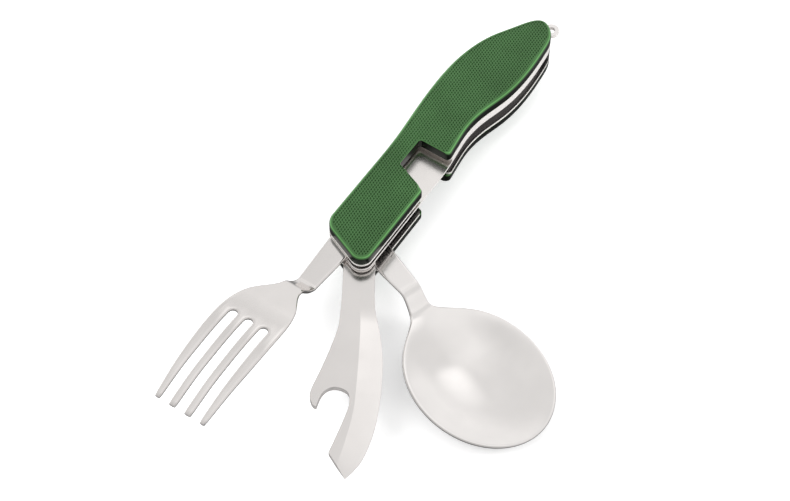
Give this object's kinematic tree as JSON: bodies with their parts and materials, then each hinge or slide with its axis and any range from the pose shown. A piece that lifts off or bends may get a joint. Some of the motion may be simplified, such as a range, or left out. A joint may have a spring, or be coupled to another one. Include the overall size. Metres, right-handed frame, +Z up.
{
  "type": "picnic cutlery",
  "caption": "Folding picnic cutlery: fork, knife with bottle opener and spoon turn out of a knurled aluminium handle on one pivot.",
  "frame": {"origin": "on the pivot's axis, at the bottom scale's flat outer face", "axes": "+X along the handle towards its tail, +Z up through the stack of plates from the bottom scale to the top scale, tools close from the -Y side"},
  "size_m": [0.1902, 0.094, 0.0325],
  "materials": {
    "green_aluminium": "knurled, green anodised",
    "plate_steel": "blanked sheet, satin faces and bright edges",
    "spring_steel": "satin",
    "pin_steel": "turned",
    "washer_brass": "rolled foil",
    "polished_steel": "mirror polished stainless steel",
    "blade_steel": "polished stainless steel with a ground edge"
  },
  "bodies": {
    "handle": {"top_scale": "green_aluminium", "bottom_scale": "green_aluminium", "top_liner": "plate_steel", "bottom_liner": "plate_steel", "centre_plate": "plate_steel", "divider_plate": "plate_steel", "fork_spring": "spring_steel", "knife_spring": "spring_steel", "spoon_spring": "spring_steel", "pivot_pin": "pin_steel", "front_pin": "pin_steel", "middle_pin": "pin_steel", "tail_pin": "pin_steel", "top_scale_screws": "pin_steel", "bottom_scale_screws": "pin_steel", "fork_washers": "washer_brass", "knife_washers": "washer_brass", "spoon_washers": "washer_brass"},
    "fork": {"fork": "polished_steel"},
    "knife": {"knife": "blade_steel"},
    "spoon": {"spoon": "polished_steel"}
  },
  "joints": [
    {"name": "fork_hinge", "type": "hinge", "parent": "handle", "child": "fork", "pos_m": [0, 0, 0.0101], "axis": [0, 0, 1], "range_deg": [0, 174]},
    {"name": "knife_hinge", "type": "hinge", "parent": "handle", "child": "knife", "pos_m": [0, 0, 0.0075], "axis": [0, 0, 1], "range_deg": [-32, 144]},
    {"name": "spoon_hinge", "type": "hinge", "parent": "handle", "child": "spoon", "pos_m": [0, 0, 0.0049], "axis": [0, 0, 1], "range_deg": [-69.9, 103]}
  ]
}
